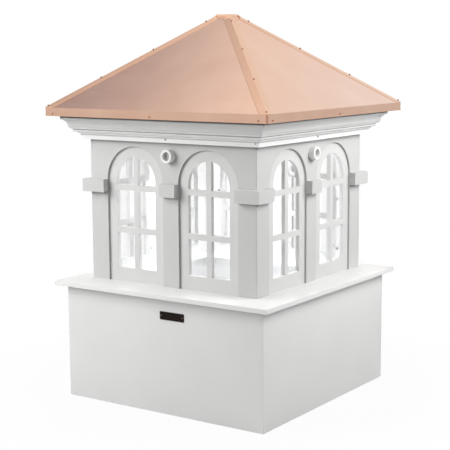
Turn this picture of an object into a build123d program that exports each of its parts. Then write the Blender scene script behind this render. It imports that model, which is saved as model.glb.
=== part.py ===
from build123d import *
import os
from math import atan2, cos, hypot, radians, sin, sqrt, tan

# Square cupola for the ridge of a barn: a boarded base, a glazed lantern with two arched windows a side,
# a moulded cornice and a copper pyramid roof. Millimetres, +Z up, origin at the centre of the base's foot.
# Every ring of four is drawn once for the front (-Y) side and turned for the right, back and left sides.

# ---- base and flange ------------------------------------------------------------------------------------
base_width = 914.4            # outside of the base panels
base_height = 448.2           # foot to underside of the flange
base_board = 19.0             # thickness of the base panels
flange_overhang = 35.6        # flange edge beyond the base
flange_edge = 17.5            # thickness at the outer edge
flange_wash = 7.0             # rise of the sloped top from its edge to the lantern
flange_easing = 1.0           # rounding of the upper outer edge
flange_bearing = 7.9          # flange inside the back of the window panels that stand on it

# ---- lantern --------------------------------------------------------------------------------------------
lantern_setback = 72.2        # face of the base panels in to the face boards of the lantern
lantern_height = 643.3        # flange to underside of the soffit
face_board = 8.0              # thickness of the face boards, which is the depth of the recesses
window_board = 16.0           # thickness of the window panels
corner_width = 81.5           # face board from a corner to the nearest recess
pilaster_width = 73.0         # face board between a side's two recesses
arch_margin = 22.6            # face board between the top of a recess and the bed board
stile_width = 40.9            # window panel between the edge of a recess and the glazed opening
bottom_rail = 52.8            # flange to the lowest lights
lowest_light_height = 138.0
upper_muntin_drop = 26.6      # springing line down to the centre line of the upper muntin
muntin_width = 22.4
glass_thickness = 3.0
glass_lap = 28.0              # glass behind the window panel, all round

# ---- ornament on the lantern ----------------------------------------------------------------------------
block_depth = 25.0            # impost blocks stand this far out of the face boards
block_height = 49.5
block_above_springing = 1.5   # top of the blocks over the springing line
rosette_diameter = 51.0
rosette_depth = 25.0
rosette_bore = 33.0           # right through, with the face board as its bottom
rosette_easing = 1.5          # rounding of the outer front edge
rosette_gap = 25.6            # top of the rosettes down from the bed board

# ---- cornice --------------------------------------------------------------------------------------------
bed_board_thickness = 26.3
bed_board_height = 40.0
bed_reveal = 16.0             # bed board that shows below the crown
crown_back = 18.0             # flat of the crown against the soffit, measured in from its top edge
crown_seat = 22.0             # flat of the crown against the bed board
# Face of the crown moulding, from its foot up. Each stretch has its projection, its rise, and its bow as a
# share of its length: 0 is straight, more swells out of the moulding and less hollows it.
crown_face = [
    (0.8, 0.0, 0.0),          # toe on the bed board
    (0.0, 2.5, 0.0),
    (6.7, 3.0, -0.1),         # small cove
    (0.5, 4.5, 0.0),          # fillet
    (10.0, 2.5, -0.1),        # second cove
    (1.5, 1.5, 0.0),
    (3.5, 6.0, 0.25),         # bead
    (-2.5, 0.5, 0.0),         # quirk
    (0.0, 2.5, 0.0),
    (7.0, 0.5, 0.0),
    (0.0, 2.0, 0.0),
    (8.3, 14.0, 0.14),        # cyma: swelling, then hollow
    (18.7, 21.5, -0.14),
    (2.0, 0.0, 0.0),          # fillet
    (0.0, 16.7, 0.0),
]

# ---- roof -----------------------------------------------------------------------------------------------
eave_overhang = 38.1          # upright face of the drip edge beyond the crown
roof_pitch = 36.0             # degrees
soffit_board = 16.0
deck_board = 9.5
copper_sheet = 0.8
drip_drop = 2.6               # drip edge below the soffit
drip_return = 40.0            # drip edge lying up the roof under the sheets
hem_height = 5.0
apex_block_width = 89.0       # square timber between the upper ends of the deck boards
apex_block_height = 70.0
apex_block_clearance = 0.3    # block to the ends of the deck boards
apex_block_sink = 8.0         # top of the block below the top edge of the deck
sheet_opening = 98.0          # width of the opening that the copper sheets leave at the apex
cap_half_width = 25.0         # hip cap, from its crest to each edge, in plan across the hip
cap_crest_rise = 2.2          # crest over the meeting line of the sheets, square to the hip
cap_hem = 8.0                 # edge folded under
cap_end = 33.0                # plan distance of the crest's upper end from both centre lines
apex_cover_height = 27.7      # square copper cover that stands on the block, between the ends of the caps
apex_cover_gap = 1.0          # cover to the ends of the crests, in plan

# ---- derived sizes --------------------------------------------------------------------------------------
base_half = base_width / 2
flange_half = base_half + flange_overhang
flange_edge_top = base_height + flange_edge
flange_top = flange_edge_top + flange_wash

lantern_half = base_half - lantern_setback
window_face = lantern_half - face_board
window_back = window_face - window_board
soffit_bottom = flange_top + lantern_height

bed_face = lantern_half + bed_board_thickness
crown_projection = sum(projection for projection, rise, bow in crown_face)
crown_height = sum(rise for projection, rise, bow in crown_face)
crown_foot = soffit_bottom - crown_height
bed_bottom = crown_foot - bed_reveal

pilaster_edge = pilaster_width / 2
corner_edge = lantern_half - corner_width
recess_half = (corner_edge - pilaster_edge) / 2
window_centre = (corner_edge + pilaster_edge) / 2
opening_half = recess_half - stile_width
springing = bed_bottom - arch_margin - recess_half
sill = flange_top + bottom_rail
lower_muntin = sill + lowest_light_height + muntin_width / 2
upper_muntin = springing - upper_muntin_drop

eave_half = bed_face + crown_projection + eave_overhang
deck_half = eave_half - copper_sheet
deck_foot = soffit_bottom + soffit_board
slope = tan(radians(roof_pitch))
plumb = 1 / cos(radians(roof_pitch))      # height of a sloping sheet for each mm of its thickness
deck_edge_top = deck_foot + deck_board * plumb
deck_end = apex_block_width / 2 + apex_block_clearance
sheet_end = sheet_opening / 2
apex_block_top = deck_edge_top + (deck_half - deck_end) * slope - apex_block_sink
cover_half = cap_end - apex_cover_gap
reach = 2 * (soffit_bottom + eave_half)   # longer than any piece
side_names = ("front", "right", "back", "left")


# ---- helpers --------------------------------------------------------------------------------------------
section_plane = Plane(origin=(0, 0, 0), x_dir=(0, -1, 0), z_dir=(-1, 0, 0))


def rectangle(inner, outer, bottom, top):
    """Section between two distances out from the centre and two heights."""
    return Pos((inner + outer) / 2, (bottom + top) / 2) * Rectangle(outer - inner, top - bottom)


def polygon(points):
    return make_face(Polyline(*points, close=True))


def mitred(section):
    """Run a section (distance out, height) along the front side and mitre it at both corners."""
    run = extrude(section_plane * section, amount=reach, both=True)
    quarter = extrude(polygon([(0, 0), (-reach, -reach), (reach, -reach)]), amount=reach, both=True)
    return run & quarter


def through_front(outline, start, end):
    """Solid of a front elevation outline (x, height) between two distances out from the centre."""
    return extrude(Plane.XZ.offset(start) * outline, amount=end - start)


def roof_height(out, lift=0.0):
    """Height of the deck's upper face at a distance out, raised by a sheet thickness if given."""
    return deck_edge_top + (deck_half - out) * slope + lift * plumb


def arched(centre, half_width, bottom, spring):
    """Rectangle with a half-round head, as a front elevation outline."""
    return rectangle(centre - half_width, centre + half_width, bottom, spring) + Pos(centre, spring) * Circle(
        half_width
    )


# ---- base and flange ------------------------------------------------------------------------------------
def make_base_panel():
    return mitred(rectangle(base_half - base_board, base_half, 0, base_height))


def make_flange_board():
    inner = window_back - flange_bearing
    section = polygon(
        [
            (inner, base_height),
            (flange_half, base_height),
            (flange_half, flange_edge_top),
            (lantern_half, flange_top),
            (inner, flange_top),
        ]
    )
    upper_edge = section.vertices().group_by(Axis.X)[-1].sort_by(Axis.Y)[-1]
    return mitred(fillet(upper_edge, flange_easing))


# ---- lantern --------------------------------------------------------------------------------------------
def lights(centre):
    """The six glazed lights of one window: its arched opening less the muntins."""
    bar = muntin_width / 2
    opening = arched(centre, opening_half, sill, springing)
    upright = rectangle(centre - bar, centre + bar, sill - 1, springing + opening_half + 1)
    cross_bars = [
        rectangle(centre - opening_half, centre + opening_half, height - bar, height + bar)
        for height in (lower_muntin, upper_muntin)
    ]
    return opening - upright - cross_bars[0] - cross_bars[1]


def make_window_panel():
    panel = mitred(rectangle(window_back, window_face, flange_top, soffit_bottom))
    for centre in (-window_centre, window_centre):
        panel -= through_front(lights(centre), window_back - 1, window_face + 1)
    return panel


def make_face_board():
    board = mitred(rectangle(window_face, lantern_half, flange_top, soffit_bottom))
    for centre in (-window_centre, window_centre):
        recess = arched(centre, recess_half, flange_top - 1, springing)
        board -= through_front(recess, window_face - 1, lantern_half + 1)
    return board


def make_panes():
    """The two panes of one side, against the back of the window panel."""
    outlines = [
        arched(centre, opening_half + glass_lap, sill - glass_lap, springing)
        for centre in (-window_centre, window_centre)
    ]
    return [through_front(outline, window_back - glass_thickness, window_back) for outline in outlines]


# ---- ornament on the lantern ----------------------------------------------------------------------------
def make_corner_block():
    """Block that wraps the front right corner, in line with the edges of the recesses."""
    outer = lantern_half + block_depth
    wrap = extrude(
        polygon(
            [
                (corner_edge, -outer),
                (outer, -outer),
                (outer, -corner_edge),
                (lantern_half, -corner_edge),
                (lantern_half, -lantern_half),
                (corner_edge, -lantern_half),
            ]
        ),
        amount=block_height,
    )
    return Pos(0, 0, springing + block_above_springing - block_height) * wrap


def make_pilaster_block():
    top = springing + block_above_springing
    outline = rectangle(-pilaster_edge, pilaster_edge, top - block_height, top)
    return through_front(outline, lantern_half, lantern_half + block_depth)


def make_rosette():
    centre = Pos(0, bed_bottom - rosette_gap - rosette_diameter / 2)
    face = lantern_half + rosette_depth
    disc = through_front(centre * Circle(rosette_diameter / 2), lantern_half, face)
    front_edge = disc.edges().filter_by(GeomType.CIRCLE).sort_by(Axis.Y)[0]
    return fillet(front_edge, rosette_easing) - through_front(
        centre * Circle(rosette_bore / 2), lantern_half - 1, face + 1
    )


# ---- cornice --------------------------------------------------------------------------------------------
def make_bed_board():
    return mitred(rectangle(lantern_half, bed_face, bed_bottom, bed_bottom + bed_board_height))


def bowed(start, end, bow):
    """Line or arc between two points of a section, with its bow as a share of the distance."""
    if bow == 0:
        return Line(start, end)
    run = end - start
    return ThreePointArc(start, (start + end) / 2 + Vector(run.Y, -run.X) * bow, end)


def crown_section():
    """Face of the crown from its foot up, closed over the soffit seat, the hollow back and the bed board."""
    foot = Vector(bed_face, crown_foot)
    edges = []
    here = foot
    for projection, rise, bow in crown_face:
        there = here + Vector(projection, rise)
        edges.append(bowed(here, there, bow))
        here = there
    back = Polyline(here, here - Vector(crown_back, 0), foot + Vector(0, crown_seat), foot)
    return make_face(edges + [back])


def make_crown_moulding():
    return mitred(crown_section())


# ---- roof -----------------------------------------------------------------------------------------------
def make_soffit_board():
    return mitred(rectangle(window_back, deck_half, soffit_bottom, deck_foot))


def make_roof_deck():
    return mitred(
        polygon(
            [
                (deck_half, deck_foot),
                (deck_half, deck_edge_top),
                (deck_end, roof_height(deck_end)),
                (deck_end, roof_height(deck_end, -deck_board)),
            ]
        )
    )


def make_copper_panel():
    lift = copper_sheet
    return mitred(
        polygon(
            [
                (eave_half, roof_height(eave_half, lift)),
                (eave_half, roof_height(eave_half, 2 * lift)),
                (sheet_end, roof_height(sheet_end, 2 * lift)),
                (sheet_end, roof_height(sheet_end, lift)),
            ]
        )
    )


def make_drip_edge():
    """Upright band with a hemmed foot, and the return that lies up the roof under the sheets."""
    foot = soffit_bottom - drip_drop
    hem_face = eave_half + copper_sheet
    upper = deck_half - drip_return
    return mitred(
        polygon(
            [
                (deck_half, foot),
                (hem_face, foot),
                (hem_face, foot + hem_height),
                (eave_half, foot + hem_height),
                (eave_half, roof_height(eave_half, copper_sheet)),
                (upper, roof_height(upper, copper_sheet)),
                (upper, roof_height(upper)),
                (deck_half, deck_edge_top),
            ]
        )
    )


def make_hip_cap():
    """Folded strip over the front right hip: two wings with hemmed edges, its crest clear of the sheets."""
    hip_angle = atan2(slope, sqrt(2))
    ridge_foot = Vector(eave_half, -eave_half, roof_height(eave_half, 2 * copper_sheet))
    uphill = Vector(-cos(hip_angle) / sqrt(2), cos(hip_angle) / sqrt(2), sin(hip_angle))
    across = Plane(origin=ridge_foot, x_dir=(-1, -1, 0), z_dir=uphill)
    # fall of the sheets to each side of the hip, seen square to it
    sheet_fall = sqrt(2 / (1 + cos(radians(roof_pitch)) ** 2) - 1)
    edge = (cap_half_width, -cap_half_width * sheet_fall)
    wing_drop = cap_crest_rise - edge[1]
    wing_length = hypot(cap_half_width, wing_drop)
    along = (cap_half_width / wing_length, -wing_drop / wing_length)
    outward = (-along[1], along[0])
    plumb_thickness = copper_sheet / outward[1]

    def wing_point(back_from_edge, lift):
        return (
            edge[0] - back_from_edge * along[0] + lift * outward[0],
            edge[1] - back_from_edge * along[1] + lift * outward[1],
        )

    half = [
        (0, cap_crest_rise + 2 * plumb_thickness),
        wing_point(0, 2 * copper_sheet),
        wing_point(0, 0),
        wing_point(cap_hem, 0),
        wing_point(cap_hem, copper_sheet),
        (0, cap_crest_rise + plumb_thickness),
    ]
    mirrored = [(-u, v) for u, v in reversed(half[1:-1])]
    strip = extrude(across * polygon(half + mirrored), amount=reach, both=True)
    column = Box(2 * eave_half, 2 * eave_half, 2 * reach)
    upper_end = Plane(origin=(cap_end, -cap_end, roof_height(cap_end)), z_dir=uphill)
    return split(strip & column, bisect_by=upper_end, keep=Keep.BOTTOM)


def square_post(half_width, bottom, height):
    return Pos(0, 0, bottom + height / 2) * Box(2 * half_width, 2 * half_width, height)


def make_apex_block():
    return square_post(apex_block_width / 2, apex_block_top - apex_block_height, apex_block_height)


def make_apex_cover():
    """Square pan folded from sheet, open below, that stands on the apex block."""
    hollow = square_post(cover_half - copper_sheet, apex_block_top, apex_cover_height - copper_sheet)
    return square_post(cover_half, apex_block_top, apex_cover_height) - hollow


# ---- the whole cupola -----------------------------------------------------------------------------------
def turned(piece):
    """The piece on the front, right, back and left sides in turn."""
    return [Rot(0, 0, 90 * index) * piece for index in range(len(side_names))]


def save(name, solids):
    export_step(Compound(children=solids), f"parts/{name}.step")


os.makedirs("parts", exist_ok=True)

rings = {
    "base_panel": make_base_panel(),
    "flange_board": make_flange_board(),
    "window_panel": make_window_panel(),
    "face_board": make_face_board(),
    "bed_board": make_bed_board(),
    "crown_moulding": make_crown_moulding(),
    "soffit_board": make_soffit_board(),
    "roof_deck": make_roof_deck(),
    "copper_panel": make_copper_panel(),
    "drip_edge": make_drip_edge(),
}
for piece_name, front_piece in rings.items():
    for side_name, piece in zip(side_names, turned(front_piece)):
        save(f"{piece_name}_{side_name}", [piece])

save("window_glass", [pane for front_pane in make_panes() for pane in turned(front_pane)])
save("impost_blocks", turned(make_corner_block()) + turned(make_pilaster_block()))
save("rosettes", turned(make_rosette()))
save("hip_caps", turned(make_hip_cap()) + [make_apex_cover()])
save("apex_block", [make_apex_block()])
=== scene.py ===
from math import atan, cos, pi, radians, sin, sqrt, tan

import bmesh
import bpy
from mathutils import Matrix, Vector


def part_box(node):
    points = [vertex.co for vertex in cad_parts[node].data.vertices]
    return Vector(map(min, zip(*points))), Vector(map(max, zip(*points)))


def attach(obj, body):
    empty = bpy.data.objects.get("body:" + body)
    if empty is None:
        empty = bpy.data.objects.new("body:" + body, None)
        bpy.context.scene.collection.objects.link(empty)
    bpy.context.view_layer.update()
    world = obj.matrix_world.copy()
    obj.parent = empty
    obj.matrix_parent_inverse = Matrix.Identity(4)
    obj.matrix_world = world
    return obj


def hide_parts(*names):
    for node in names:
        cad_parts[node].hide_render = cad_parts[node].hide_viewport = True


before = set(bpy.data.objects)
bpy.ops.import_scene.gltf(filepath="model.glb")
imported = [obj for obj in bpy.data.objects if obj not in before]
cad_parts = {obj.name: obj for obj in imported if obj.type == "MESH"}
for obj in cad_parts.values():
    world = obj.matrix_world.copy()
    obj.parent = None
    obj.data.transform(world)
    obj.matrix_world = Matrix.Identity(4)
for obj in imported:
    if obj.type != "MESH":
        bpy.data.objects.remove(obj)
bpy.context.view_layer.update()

mm = 0.001

# ---- sizes ----------------------------------------------------------------------------------------------
base_face = -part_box("base_panel_front")[0].y
crown_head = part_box("crown_moulding_front")[1].z
lantern_face = -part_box("face_board_front")[0].y
rosette_foot, rosette_head = (corner.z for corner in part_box("rosettes"))
panel_back = -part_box("window_panel_front")[1].y
bed_face = -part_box("bed_board_front")[0].y
bed_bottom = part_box("bed_board_front")[0].z
crown_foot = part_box("crown_moulding_front")[0].z
eave_face = -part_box("copper_panel_front")[0].y
sheet_end = -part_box("copper_panel_front")[1].y
sheet_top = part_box("copper_panel_front")[1].z
hem_face = -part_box("drip_edge_front")[0].y
drip_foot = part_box("drip_edge_front")[0].z
roof_pitch = radians(36)

window_centre = 170 * mm
glazing_screw_out = 127.6 * mm          # from the middle line of a window
glazing_screw_heights = (543 * mm, 750 * mm)
hip_screw_places = (60 * mm, 208 * mm, 353 * mm, 498 * mm)      # from both centre lines
cap_lift = 2.9 * mm                     # crest of the hip caps over the sheets, plumb
cap_edge_lift = 1.9 * mm                # edges of their wings over the sheets
cap_width = 35 * mm                     # each wing, along the eave
cap_end = 32.5 * mm                     # upper end of the crests from both centre lines
cap_curl = 10 * mm                      # length at that end bent up to the apex cover
cap_curl_rise = 3.4 * mm
cap_past_eave = 0.9 * mm
copper_bend = 0.7 * mm                  # rounding of the folds in copper strip
copper_sheet = 0.6 * mm
drip_screw_height = 1123 * mm
drip_screw_inset = 36 * mm              # from the eave's corners
drip_tab = 7 * mm                       # folded hem at the right-hand ends of the front and back drip edges
drip_tab_lap = 3 * mm                   # length of the hem that turns round the corner
drip_tab_proud = 1.6 * mm               # past the side's drip edge
bed_screw_inset = 15 * mm               # from the corners of the bed board
bed_screw_lift = 12.2 * mm              # over the foot of the bed board
cover_half = 32 * mm                    # square cover at the apex
cover_depth = 8 * mm                    # below the sheets' plane at its edge
rosette_bore = 33 * mm
rosette_floor = 9 * mm                  # over the face board
plate_left, plate_right = -1 * mm, 110 * mm
plate_bottom, plate_top = 365 * mm, 396 * mm
plate_thickness = 2.2 * mm
plate_rim, plate_sink = 1.6 * mm, 0.7 * mm
plate_pin_inset = 7 * mm
cove_shade = (crown_foot + 27 * mm, crown_foot + 30 * mm)       # heights over which the cove's shade comes in
eave_shade = (crown_head - 13 * mm, crown_head - 9 * mm)        # and the shade close under the drip edge


# ---- nodes and colours ----------------------------------------------------------------------------------
def linear(hex_colour):
    """sRGB hex to linear red, green, blue and alpha."""
    shares = [int(hex_colour[place:place + 2], 16) / 255 for place in (1, 3, 5)]
    return [share / 12.92 if share <= 0.04045 else ((share + 0.055) / 1.055) ** 2.4 for share in shares] + [1.0]


def add(tree, kind, inputs=None, **settings):
    """Add a node with its settings; each input is given a value or the socket that feeds it."""
    node = tree.nodes.new("ShaderNode" + kind)
    for name, value in settings.items():
        setattr(node, name, value)
    for name, value in (inputs or {}).items():
        if isinstance(value, bpy.types.NodeSocket):
            tree.links.new(value, node.inputs[name])
        else:
            node.inputs[name].default_value = value
    return node


def new_finish(name):
    """A material with an empty node tree and the position on the object in metres."""
    finish = bpy.data.materials.new(name)
    finish.use_nodes = True
    tree = finish.node_tree
    tree.nodes.clear()
    return finish, tree, add(tree, "TexCoord").outputs["Object"]


def surface(tree, **inputs):
    """The Principled shader and the output; an underscore in a name stands for a space."""
    shader = add(tree, "BsdfPrincipled", {name.replace("_", " "): value for name, value in inputs.items()})
    add(tree, "OutputMaterial", {"Surface": shader.outputs["BSDF"]})


def patches(tree, place, size, detail=3.0, roughness=0.5, stretch=(1, 1, 1)):
    """Noise with patches about size metres across, drawn out along an axis by a small stretch value."""
    drawn = add(tree, "Mapping", {"Vector": place, "Scale": stretch})
    return add(
        tree, "TexNoise", {"Vector": drawn.outputs[0], "Scale": 1 / size, "Detail": detail, "Roughness": roughness}
    ).outputs["Fac"]


def between(tree, share, low, high):
    """Spread a noise value over a range."""
    return add(
        tree, "MapRange", {"Value": share, "From Min": 0.3, "From Max": 0.7, "To Min": low, "To Max": high}
    ).outputs["Result"]


def blend(tree, share, first, second):
    """Mix two colours, each given as sRGB hex or as the socket that feeds it."""
    colours = [linear(colour) if isinstance(colour, str) else colour for colour in (first, second)]
    return add(tree, "Mix", {0: share, 6: colours[0], 7: colours[1]}, data_type="RGBA").outputs[2]


def joint_shade(tree, reach, strength, lean=1.5, closed=0.34, clear=0.69):
    """Share of shade in tight joints: strength where faces within reach close in, and the more the lean, the more
    only what overhangs counts. Openness runs from closed, where the shade is full, to clear, where it ends."""
    normal = add(tree, "NewGeometry").outputs["Normal"]
    raised = add(tree, "VectorMath", {0: normal, 1: (0, 0, lean)}, operation="ADD").outputs["Vector"]
    upward = add(tree, "VectorMath", {0: raised}, operation="NORMALIZE").outputs["Vector"]
    openness = add(tree, "AmbientOcclusion", {"Distance": reach, "Normal": upward}, samples=8).outputs["AO"]
    return add(
        tree, "MapRange", {"Value": openness, "From Min": closed, "From Max": clear, "To Min": strength, "To Max": 0.0}
    ).outputs["Result"]


# ---- finishes -------------------------------------------------------------------------------------------
def cellular_pvc(name, first, second, shade=0.95, reach=18 * mm, under_eave=False):
    """Free-foamed white PVC board, satin from the sizing rollers, with eased edges and painted shade in its joints and
    under what overhangs it.
    """
    finish, tree, place = new_finish(name)
    cloud = patches(tree, place, 220 * mm)
    skin = patches(tree, place, 2.2 * mm, detail=2.0)
    easing = add(tree, "Bevel", {"Radius": 1.2 * mm}, samples=6).outputs["Normal"]
    relief = add(tree, "Bump", {"Height": skin, "Strength": 0.25, "Distance": 0.12 * mm, "Normal": easing})
    board = blend(tree, between(tree, cloud, 0, 1), first, second)
    if under_eave:
        painted_shade = joint_shade(tree, reach, shade)
        # Painted shade by height: a little over the cove, and deep right under the drip edge.
        height = add(tree, "SeparateXYZ", {"Vector": place}).outputs["Z"]
        cove = add(tree, "MapRange", {
            "Value": height, "From Min": cove_shade[0], "From Max": cove_shade[1], "To Max": 0.22
        }).outputs["Result"]
        eave = add(tree, "MapRange", {
            "Value": height, "From Min": eave_shade[0], "From Max": eave_shade[1], "To Max": 0.72
        }).outputs["Result"]
        painted_eave_shade = add(tree, "Math", {0: cove, 1: eave}, operation="ADD").outputs[0]
        painted_shade = add(tree, "Math", {0: painted_shade, 1: painted_eave_shade}, operation="MAXIMUM").outputs[0]
    else:
        painted_shade = joint_shade(tree, reach, shade, lean=2.5, closed=0.08, clear=0.5)
    # Where faces close in or overhang, the board is mixed towards dark #2E2D2B as painted shade.
    surface(
        tree,
        Base_Color=blend(tree, painted_shade, board, "#2E2D2B"),
        Roughness=between(tree, skin, 0.38, 0.5),
        IOR=1.53,
        Normal=relief.outputs["Normal"],
    )
    return finish


def copper(name, first, second, roughness):
    """Bright mill copper: faint rolling lines lengthwise, smears from handling, and the slow waves of thin sheet."""
    finish, tree, place = new_finish(name)
    handling = patches(tree, place, 160 * mm, detail=4.0)
    rolling = patches(tree, place, 4 * mm, detail=2.0, stretch=(0.02, 0.02, 1))
    waves = patches(tree, place, 300 * mm, detail=1.0)
    relief = add(tree, "Bump", {"Height": waves, "Strength": 1.0, "Distance": 1.0 * mm})
    bright = blend(tree, between(tree, handling, 0, 1), first, second)
    # Within 2.5 mm of faces that close in, the copper is mixed towards dark #7A4A30 as painted shade.
    surface(
        tree,
        Base_Color=blend(tree, joint_shade(tree, 2.5 * mm, 0.35), bright, "#7A4A30"),
        Metallic=1.0,
        Roughness=between(tree, rolling, roughness - 0.02, roughness + 0.02),
        Normal=relief.outputs["Normal"],
    )
    return finish


def float_glass():
    """Clear float glass: most light goes straight through, and the rest is its mirror reflection."""
    finish, tree, _ = new_finish("float_glass")
    surface(tree, Base_Color=linear("#F8FAFA"), Transmission_Weight=1.0, Roughness=0.02, IOR=1.5, Alpha=0.12)
    return finish


def plywood():
    """Rotary-cut fir veneer, unfinished: broad soft grain along the sheet."""
    finish, tree, place = new_finish("fir_plywood")
    grain = patches(tree, place, 9 * mm, detail=6.0, stretch=(1, 1, 0.08))
    surface(
        tree,
        Base_Color=blend(tree, between(tree, grain, 0, 1), "#E3DAC8", "#D6CAB2"),
        Roughness=0.7,
    )
    return finish


def coated_metal(name, first, second, roughness):
    """Small pieces with a thin dull coat that lies a little unevenly."""
    finish, tree, place = new_finish(name)
    coat = patches(tree, place, 3 * mm)
    surface(
        tree,
        Base_Color=blend(tree, between(tree, coat, 0, 1), first, second),
        Metallic=1.0,
        Roughness=roughness,
    )
    return finish


# One white cellular PVC in several tones that paint light and shade: the face boards and impost blocks are greyer as
# painted shade of the eaves, the window panels a little lighter than them as painted bounce light off the flange, and
# the trim and crown moulding whiter as painted light.
base_pvc = cellular_pvc("cellular_pvc_sheet", "#E4E4E3", "#E1E1E0")
lantern_pvc = cellular_pvc("cellular_pvc_board", "#CDCDCC", "#CACAC9")
panel_pvc = cellular_pvc("cellular_pvc_panel", "#D8D8D7", "#D5D5D4", shade=0.0)
trim_pvc = cellular_pvc("cellular_pvc_trim", "#F2F2F1", "#EFEFEE", shade=0.8, reach=14 * mm)
flange_pvc = cellular_pvc("cellular_pvc_planed_board", "#EBEBEA", "#E8E8E7")
crown_pvc = cellular_pvc(
    "cellular_pvc_moulding", "#F6F6F5", "#F3F3F2", shade=0.75, reach=4.5 * mm, under_eave=True
)
sheet_copper = copper("mill_copper_sheet", "#FDD8C0", "#F9D0B7", 0.17)
trim_copper = copper("mill_copper_trim", "#FCD3B9", "#F6C9AF", 0.18)
cap_copper = copper("mill_copper_strip", "#FDD1B2", "#F7CBAA", 0.18)
# The drip tabs' copper is darker than the drip edges as painted shade, for the dimmer reflection of the folded hem.
dim_tab_copper = copper("darkened_tab_copper", "#DEAB94", "#C9967F", 0.3)
glass = float_glass()
deck_ply = plywood()
coppered_screw = coated_metal("copper_plated_steel", "#E1A589", "#C58970", 0.35)
plated_screw = coated_metal("zinc_plated_steel", "#A5A5A3", "#878785", 0.4)
dark_bronze = coated_metal("dark_patinated_bronze", "#3A322E", "#2B2523", 0.42)

finish_of = {
    "base_panel": base_pvc,
    "flange_board": flange_pvc,
    "window_panel": panel_pvc,
    "face_board": lantern_pvc,
    "impost_blocks": lantern_pvc,
    "rosettes": trim_pvc,
    "bed_board": crown_pvc,
    "crown_moulding": crown_pvc,
    "soffit_board": base_pvc,
    "window_glass": glass,
    "roof_deck": deck_ply,
    "apex_block": deck_ply,
    "copper_panel": sheet_copper,
    "drip_edge": trim_copper,
    "hip_caps": cap_copper,
}
for name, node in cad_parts.items():
    kind = next(kind for kind in finish_of if name.startswith(kind))
    for slot in node.material_slots:
        slot.material = finish_of[kind]


# ---- modelling helpers ----------------------------------------------------------------------------------
def piece_from(shape, name, finish):
    """Turn a finished bmesh into a piece that rides on the object's one body."""
    bmesh.ops.recalc_face_normals(shape, faces=shape.faces)
    mesh = bpy.data.meshes.new(name)
    shape.to_mesh(mesh)
    shape.free()
    mesh.materials.append(finish)
    piece = bpy.data.objects.new(name, mesh)
    bpy.context.scene.collection.objects.link(piece)
    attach(piece, "root")
    return piece


def shade_by_angle(piece, degrees=35):
    """Smooth shading on rounded faces, with the edges sharper than an angle kept crisp."""
    piece.data.shade_smooth()
    piece.data.set_sharp_from_angle(angle=radians(degrees))


def repeat(shape, quarter_turns=(1, 2, 3)):
    """Repeat what is drawn on the front on other sides: the right is 1 quarter turn, the back 2, the left 3."""
    drawn = shape.verts[:] + shape.edges[:] + shape.faces[:]
    for index in quarter_turns:
        copied = bmesh.ops.duplicate(shape, geom=drawn)["geom"]
        verts = [part for part in copied if isinstance(part, bmesh.types.BMVert)]
        bmesh.ops.rotate(shape, verts=verts, cent=(0, 0, 0), matrix=Matrix.Rotation(radians(90 * index), 3, "Z"))


def spun(shape, half_section, stand, steps=20):
    """Turn a half section of (radius, height) points about the upright axis of a stand matrix."""
    earlier = set(shape.verts)
    verts = [shape.verts.new((radius, 0, height)) for radius, height in half_section]
    edges = [shape.edges.new(pair) for pair in zip(verts, verts[1:])]
    bmesh.ops.spin(
        shape, geom=verts + edges, cent=(0, 0, 0), axis=(0, 0, 1), angle=2 * pi, steps=steps, use_merge=True
    )
    made = [vert for vert in shape.verts if vert not in earlier]
    bmesh.ops.remove_doubles(shape, verts=made, dist=0.001 * mm)
    made = [vert for vert in shape.verts if vert not in earlier]
    bmesh.ops.transform(shape, verts=made, matrix=stand)


def standing(place, outward):
    """Matrix that stands a small part on a surface at a place, pointing outward."""
    return Matrix.Translation(place) @ Vector(outward).to_track_quat("Z", "X").to_matrix().to_4x4()


def hex_screw(shape, place, outward):
    """Hex washer head screw: a dished washer under a six-sided head with eased corners."""
    stand = standing(place, outward)
    washer = [(0, 1.0), (2.9, 1.0), (3.6, 0.5), (3.7, 0), (0, 0)]
    spun(shape, [(radius * mm, height * mm) for radius, height in washer], stand)
    head_foot = Matrix.Translation((0, 0, 1.9 * mm))
    head = bmesh.ops.create_cone(
        shape, cap_ends=True, segments=6, radius1=2.6 * mm, radius2=2.5 * mm, depth=2.2 * mm, matrix=stand @ head_foot
    )["verts"]
    edges = {edge for vert in head for edge in vert.link_edges}
    bmesh.ops.bevel(
        shape, geom=list(edges), offset=0.4 * mm, affect="EDGES", segments=2, profile=0.5, material=-1
    )


def pan_screw(shape, place, outward, diameter):
    """Pan head screw: a low dome spun from its half section."""
    dome = [(0, 0.36), (0.25, 0.34), (0.4, 0.26), (0.48, 0.14), (0.5, 0), (0, 0)]
    spun(shape, [(radius * diameter, height * diameter) for radius, height in dome], standing(place, outward), steps=16)


# ---- added pieces ---------------------------------------------------------------------------------------
def sheet_height(out):
    """Upper face of the copper sheets at a distance out from the centre."""
    return sheet_top - (out - sheet_end) * tan(roof_pitch)


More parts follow.
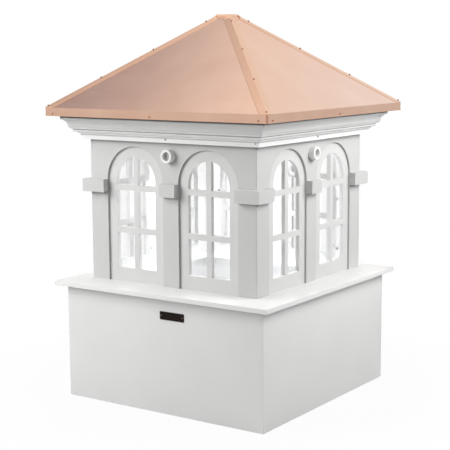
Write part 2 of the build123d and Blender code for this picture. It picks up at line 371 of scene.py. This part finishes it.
def hip_caps():
    """Folded copper strips over the hips: their wings lie along the sheets, with every edge turned down to them."""
    shape = bmesh.new()

    def on_sheet(crest, beside, lift):
        """Point beside the hip's crest on the front sheet, raised by lift."""
        out = crest + beside
        return shape.verts.new((crest - beside, -out, sheet_height(out) + lift))

    def on_crest(vert):
        return abs(vert.co.x + vert.co.y) < 0.01 * mm

    foot = eave_face + cap_past_eave
    crest = [on_sheet(place, 0, lift) for place, lift in
             ((cap_end, cap_lift + cap_curl_rise), (cap_end + cap_curl, cap_lift), (foot, cap_lift))]
    side = [on_sheet(place, cap_width / 2, cap_edge_lift) for place in (cap_end, cap_end + cap_curl)]
    side.append(shape.verts.new((foot - cap_width, -foot, sheet_height(foot) + cap_edge_lift)))
    for index in (0, 1):
        shape.faces.new((side[index], side[index + 1], crest[index + 1], crest[index]))
    drawn = shape.verts[:] + shape.edges[:] + shape.faces[:]
    copied = bmesh.ops.duplicate(shape, geom=drawn)["geom"]
    for part in copied:
        if isinstance(part, bmesh.types.BMVert):
            part.co.x, part.co.y = -part.co.y, -part.co.x
    bmesh.ops.remove_doubles(shape, verts=shape.verts, dist=0.01 * mm)
    bmesh.ops.recalc_face_normals(shape, faces=shape.faces)
    rim = [edge for edge in shape.edges if len(edge.link_faces) == 1]
    turned_down = bmesh.ops.extrude_edge_only(shape, edges=rim)["geom"]
    lower = [part for part in turned_down if isinstance(part, bmesh.types.BMVert)]
    for vert in lower:
        vert.co.z -= (cap_lift if on_crest(vert) else cap_edge_lift) - 0.2 * mm
    rounded = rim + [edge for edge in shape.edges if all(on_crest(vert) for vert in edge.verts)]
    rounded = [edge for edge in set(rounded) if edge.calc_face_angle(0) > radians(20)]
    bmesh.ops.bevel(shape, geom=rounded, offset=copper_bend, affect="EDGES", segments=2, profile=0.5, material=-1)
    repeat(shape)
    caps = piece_from(shape, "folded_hip_caps", cap_copper)
    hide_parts("hip_caps")


def apex_cover():
    """Square copper pan over the upper ends of the hip caps."""
    shape = bmesh.new()
    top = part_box("hip_caps")[1].z
    height = top - sheet_height(cover_half) + cover_depth
    size = Matrix.Diagonal((2 * cover_half, 2 * cover_half, height, 1))
    bmesh.ops.create_cube(shape, size=1, matrix=Matrix.Translation((0, 0, top - height / 2)) @ size)
    bmesh.ops.bevel(
        shape, geom=shape.edges[:], offset=0.6 * mm, affect="EDGES", segments=2, profile=0.5, material=-1
    )
    piece_from(shape, "apex_cover", cap_copper)


def hip_screws():
    shape = bmesh.new()
    hip_angle = atan(tan(roof_pitch) / sqrt(2))
    outward = (sin(hip_angle) / sqrt(2), -sin(hip_angle) / sqrt(2), cos(hip_angle))
    for out in hip_screw_places:
        hex_screw(shape, (out, -out, sheet_height(out) + cap_lift), outward)
    repeat(shape)
    shade_by_angle(piece_from(shape, "hip_cap_screws", coppered_screw))


def drip_screws():
    """At the left-hand end and the middle of each side, and at the right-hand end of the front and the back."""
    shape = bmesh.new()
    for x in (drip_screw_inset - eave_face, 0):
        hex_screw(shape, (x, -eave_face, drip_screw_height), (0, -1, 0))
    repeat(shape, (1,))
    hex_screw(shape, (eave_face - drip_screw_inset, -eave_face, drip_screw_height), (0, -1, 0))
    repeat(shape, (2,))
    shade_by_angle(piece_from(shape, "drip_edge_screws", coppered_screw))


def bed_board_screws():
    """One in the middle of each side, and one at the right-hand end of the front and the back."""
    shape = bmesh.new()
    height = bed_bottom + bed_screw_lift
    pan_screw(shape, (0, -bed_face, height), (0, -1, 0), 7 * mm)
    repeat(shape, (1,))
    pan_screw(shape, (bed_face - bed_screw_inset, -bed_face, height), (0, -1, 0), 5 * mm)
    repeat(shape, (2,))
    shade_by_angle(piece_from(shape, "bed_board_screws", plated_screw))


def rosette_plugs():
    """Discs that close the rosettes' bores halfway down."""
    shape = bmesh.new()
    radius = rosette_bore / 2 - 0.1 * mm
    disc = [(0, rosette_floor), (radius, rosette_floor), (radius, 0), (0, 0)]
    spun(shape, disc, standing((0, -lantern_face, (rosette_foot + rosette_head) / 2), (0, -1, 0)), steps=32)
    repeat(shape)
    shade_by_angle(piece_from(shape, "rosette_plugs", panel_pvc))


def glazing_screws():
    """Screws with broad washers that hold the panes against the back of the window panels."""
    shape = bmesh.new()
    washer = [(0, 1.2), (4.2, 1.2), (4.7, 0.8), (4.7, 0), (0, 0)]
    for centre in (-window_centre, window_centre):
        for side in (-1, 1):
            for height in glazing_screw_heights:
                place = Vector((centre + side * glazing_screw_out, -panel_back, height))
                spun(shape, [(radius * mm, rise * mm) for radius, rise in washer], standing(place, (0, 1, 0)))
                pan_screw(shape, place + Vector((0, 1.2 * mm, 0)), (0, 1, 0), 5.5 * mm)
    repeat(shape)
    shade_by_angle(piece_from(shape, "glazing_screws", plated_screw))


def drip_tabs():
    """Right-hand ends of the front and back drip edges: a folded hem that stands a little past the corner."""
    shape = bmesh.new()
    front, side = hem_face + 0.1 * mm, hem_face + drip_tab_proud
    top = sheet_height(eave_face) - 1.5 * mm
    plan = [(side - drip_tab, -front), (side, -front), (side, drip_tab_lap - front)]
    verts = [shape.verts.new((x, y, drip_foot + 0.3 * mm)) for x, y in plan]
    edges = [shape.edges.new(pair) for pair in zip(verts, verts[1:])]
    raised = bmesh.ops.extrude_edge_only(shape, edges=edges)["geom"]
    upper = [part for part in raised if isinstance(part, bmesh.types.BMVert)]
    bmesh.ops.translate(shape, verts=upper, vec=(0, 0, top - drip_foot))
    corner = [edge for edge in shape.edges if all(abs(vert.co.x - side) + abs(vert.co.y + front) < 0.01 * mm
                                                  for vert in edge.verts)]
    bmesh.ops.bevel(shape, geom=corner, offset=0.6 * mm, affect="EDGES", segments=3, profile=0.5, material=-1)
    bmesh.ops.recalc_face_normals(shape, faces=shape.faces)
    foremost = min(shape.faces, key=lambda face: face.calc_center_median().y)
    outward = -1 if foremost.normal.y < 0 else 1
    bmesh.ops.solidify(shape, geom=shape.faces[:], thickness=outward * copper_sheet)
    repeat(shape, (2,))
    shade_by_angle(piece_from(shape, "drip_edge_tabs", dim_tab_copper))


def apex_flashing():
    """Sloping skirt of copper from the apex cover out over the upper ends of the sheets, under the hip caps."""
    shape = bmesh.new()
    reach = sheet_end + 1 * mm
    foot, top = sheet_height(reach), sheet_height(cover_half)
    stand = Matrix.Translation((0, 0, (foot + top) / 2 + 0.8 * mm)) @ Matrix.Rotation(radians(45), 4, "Z")
    bmesh.ops.create_cone(
        shape, cap_ends=False, segments=4, radius1=reach * sqrt(2), radius2=cover_half * sqrt(2),
        depth=top - foot, matrix=stand
    )
    bmesh.ops.solidify(shape, geom=shape.faces[:], thickness=copper_sheet)
    piece_from(shape, "apex_flashing", trim_copper)


def nameplate():
    """Blank cast plate on the base: a raised rim round a sunk field, held by a pin at each end."""
    shape = bmesh.new()
    width, height, thickness = plate_right - plate_left, plate_top - plate_bottom, plate_thickness
    middle = Vector(((plate_left + plate_right) / 2, -base_face - thickness / 2, (plate_bottom + plate_top) / 2))
    bmesh.ops.create_cube(
        shape, size=1, matrix=Matrix.Translation(middle) @ Matrix.Diagonal((width, thickness, height, 1))
    )
    upright = [edge for edge in shape.edges if abs(edge.verts[0].co.y - edge.verts[1].co.y) > thickness / 2]
    bmesh.ops.bevel(shape, geom=upright, offset=1.5 * mm, affect="EDGES", segments=3, profile=0.5, material=-1)
    front = min(shape.faces, key=lambda face: face.calc_center_median().y)
    bmesh.ops.bevel(
        shape, geom=front.edges[:], offset=0.4 * mm, affect="EDGES", segments=2, profile=0.5, material=-1
    )
    front = max(shape.faces, key=lambda face: face.calc_area() * (face.normal.y < -0.9))
    bmesh.ops.inset_region(shape, faces=[front], thickness=plate_rim, depth=0)
    bmesh.ops.inset_region(shape, faces=[front], thickness=0.5 * mm, depth=-plate_sink)
    shade_by_angle(piece_from(shape, "nameplate", dark_bronze))
    pins = bmesh.new()
    for x in (plate_left + plate_pin_inset, plate_right - plate_pin_inset):
        pan_screw(pins, (x, -base_face - thickness + plate_sink, middle.z), (0, -1, 0), 5 * mm)
    shade_by_angle(piece_from(pins, "nameplate_pins", plated_screw))


hip_caps()
apex_cover()
hip_screws()
drip_screws()
bed_board_screws()
glazing_screws()
rosette_plugs()
drip_tabs()
apex_flashing()
nameplate()


# ---- studio ---------------------------------------------------------------------------------------------
def world_light():
    """White to the eye and through glass; metal reflects a dim patch on the left and cooler light behind."""
    world = bpy.data.worlds.new("studio")
    bpy.context.scene.world = world
    world.use_nodes = True
    tree = world.node_tree
    tree.nodes.clear()
    path = add(tree, "LightPath")
    direction = add(tree, "TexCoord").outputs["Generated"]
    dim_way = Vector((-0.79, 0.34, 0.505)).normalized()
    towards = add(tree, "VectorMath", {0: direction, 1: dim_way}, operation="DOT_PRODUCT").outputs["Value"]
    clear_of_patch = add(
        tree, "MapRange", {"Value": towards, "From Min": 0.962, "From Max": 0.914, "To Min": 0.0, "To Max": 1.0}
    )
    sideways = add(
        tree, "VectorMath", {0: direction, 1: (0.663, 0.451, -0.597)}, operation="DOT_PRODUCT"
    ).outputs["Value"]
    right = add(tree, "MapRange", {"Value": sideways, "From Min": -0.4, "From Max": -0.08, "To Min": 0, "To Max": 1})
    far = add(tree, "MapRange", {"Value": sideways, "From Min": -0.06, "From Max": 0.07, "To Min": 0, "To Max": 1})
    open_room = blend(tree, far.outputs[0], blend(tree, right.outputs[0], "#FFFAFA", "#EDE6E1"), "#F2F5FB")
    room = blend(tree, clear_of_patch.outputs[0], "#8F8C97", open_room)
    seen = add(
        tree, "Math", {0: path.outputs["Is Camera Ray"], 1: path.outputs["Is Transmission Ray"]}, operation="MAXIMUM"
    )
    fill = add(tree, "Background", {"Color": linear("#FFFFFF"), "Strength": 0.05})
    reflections = add(tree, "Background", {"Color": room, "Strength": 1.0})
    backdrop = add(tree, "Background", {"Color": linear("#FFFFFF"), "Strength": 1.0})
    reflected = add(
        tree, "MixShader", {0: path.outputs["Is Glossy Ray"], 1: fill.outputs[0], 2: reflections.outputs[0]}
    )
    shown = add(tree, "MixShader", {0: seen.outputs[0], 1: reflected.outputs[0], 2: backdrop.outputs[0]})
    add(tree, "OutputWorld", {0: shown.outputs[0]})


def soft_light(name, azimuth, elevation, distance, size, watts):
    """A square softbox facing the lantern; azimuth 0 is in front, 90 to the right."""
    aim = Vector((0, 0, 0.9))
    level = cos(radians(elevation))
    way = Vector((sin(radians(azimuth)) * level, -cos(radians(azimuth)) * level, sin(radians(elevation))))
    lamp = bpy.data.lights.new(name, "AREA")
    lamp.shape = "SQUARE"
    lamp.size = size
    lamp.energy = watts
    stand = bpy.data.objects.new(name, lamp)
    stand.location = aim + way * distance
    stand.rotation_euler = way.to_track_quat("Z", "Y").to_euler()
    stand.visible_glossy = False
    bpy.context.scene.collection.objects.link(stand)


def lantern_light(height, watts):
    """A small round lamp hung inside the lantern, so that its white inside reads bright through the panes."""
    lamp = bpy.data.lights.new("inside_lantern", "POINT")
    lamp.shadow_soft_size = 120 * mm
    lamp.color = linear("#F8FAFF")[:3]
    lamp.energy = watts
    stand = bpy.data.objects.new("inside_lantern", lamp)
    stand.location.z = height
    stand.visible_camera = False
    stand.visible_glossy = False
    stand.visible_transmission = False
    bpy.context.scene.collection.objects.link(stand)


def floor():
    """A pale floor that is white to the eye, with the soft shadow of the base left in it close by."""
    shape = bmesh.new()
    bmesh.ops.create_grid(shape, x_segments=1, y_segments=1, size=40)
    mesh = bpy.data.meshes.new("floor")
    shape.to_mesh(mesh)
    shape.free()
    ground = bpy.data.objects.new("floor", mesh)
    ground.location.z = -0.5 * mm
    bpy.context.scene.collection.objects.link(ground)
    finish, tree, place = new_finish("pale_floor")
    path = add(tree, "LightPath")
    away = add(tree, "VectorMath", {0: place}, operation="LENGTH").outputs["Value"]
    shadowed = add(
        tree, "MapRange", {"Value": away, "From Min": 0.7, "From Max": 1.3, "To Min": 0.95, "To Max": 1.0}
    ).outputs["Result"]
    seen = add(
        tree, "Math", {0: path.outputs["Is Camera Ray"], 1: path.outputs["Is Transmission Ray"]}, operation="MAXIMUM"
    )
    share = add(tree, "Math", {0: seen.outputs[0], 1: shadowed}, operation="MULTIPLY")
    pale = add(tree, "BsdfDiffuse", {"Color": linear("#D0D0D0")})
    bright = add(tree, "Emission", {"Color": linear("#FFFFFF"), "Strength": 1.0})
    mirrored = add(tree, "Emission", {"Color": linear("#FFFFFF"), "Strength": 0.6})
    bounced = add(tree, "MixShader", {0: path.outputs["Is Glossy Ray"], 1: pale.outputs[0], 2: mirrored.outputs[0]})
    shown = add(tree, "MixShader", {0: share.outputs[0], 1: bounced.outputs[0], 2: bright.outputs[0]})
    add(tree, "OutputMaterial", {"Surface": shown.outputs[0]})
    mesh.materials.append(finish)


def camera():
    """Long lens in front of the near corner, a little above the cornice."""
    azimuth = radians(34.48)
    elevation = radians(8.51)
    roll = radians(-0.35)
    distance = 4.8216
    target = Vector((-0.0174, 0, 0.662))
    back = Vector((sin(azimuth) * cos(elevation), -cos(azimuth) * cos(elevation), sin(elevation)))
    level = Vector((cos(azimuth), sin(azimuth), 0))
    right = Matrix.Rotation(roll, 3, back) @ level
    up = back.cross(right)
    lens = bpy.data.cameras.new("camera")
    lens.lens = 95.69
    lens.sensor_width = 36
    lens.clip_end = 200
    eye = bpy.data.objects.new("camera", lens)
    eye.matrix_world = Matrix.Translation(target + back * distance) @ Matrix((right, up, back)).transposed().to_4x4()
    bpy.context.scene.collection.objects.link(eye)
    bpy.context.scene.camera = eye


world_light()
floor()
camera()
soft_light("front_left", -37, 29.5, 3.3, 2.2, 102)
soft_light("front_low", -28, 3, 3.4, 2.0, 17)
soft_light("right", 100, 27, 2.3, 1.4, 54)
soft_light("back", 214, 25, 3.3, 2.0, 62)
lantern_light(0.82, 6.8)
lantern_light(0.45, 4.2)

bpy.context.scene.view_settings.view_transform = "Standard"
